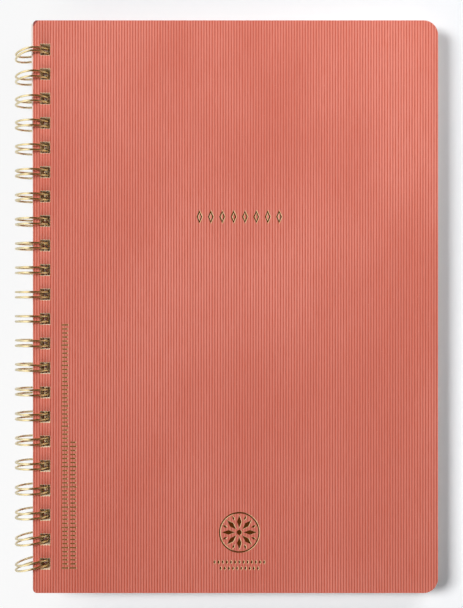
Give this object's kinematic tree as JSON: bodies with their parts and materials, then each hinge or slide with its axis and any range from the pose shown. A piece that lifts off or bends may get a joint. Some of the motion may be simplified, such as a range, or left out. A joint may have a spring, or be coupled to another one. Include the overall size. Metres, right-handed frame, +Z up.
{
  "type": "wire-bound notebook",
  "caption": "A4 side-bound notebook with ribbed coral card covers, gold foil ornament, ruled leaves and a gold twin-loop wire.",
  "frame": {"origin": "middle of the object's footprint, on the surface that the wire loops lie on", "axes": "+X from the spine to the fore edge, +Y along the spine to the head, +Z up through the front cover"},
  "size_m": [0.2196, 0.297, 0.0176],
  "materials": {
    "ribbed_card": "matt, ribbed",
    "leaves": "matt",
    "gold_wire": "gold plated",
    "gold_foil": "hot foil"
  },
  "bodies": {
    "leaves": {"page_block": "leaves", "twin_wire": "gold_wire"},
    "front": {"front_cover": "ribbed_card", "title_foil": "gold_foil", "rosette_foil": "gold_foil", "scale_foil": "gold_foil"},
    "back": {"back_cover": "ribbed_card"}
  },
  "joints": [
    {"name": "front_cover_turn", "type": "hinge", "parent": "leaves", "child": "front", "pos_m": [-0.10098, 0, 0.0088], "axis": [0, -1, 0], "range_deg": [0, 180]},
    {"name": "back_cover_turn", "type": "hinge", "parent": "leaves", "child": "back", "pos_m": [-0.10098, 0, 0.0088], "axis": [0, 1, 0], "range_deg": [0, 180]}
  ]
}
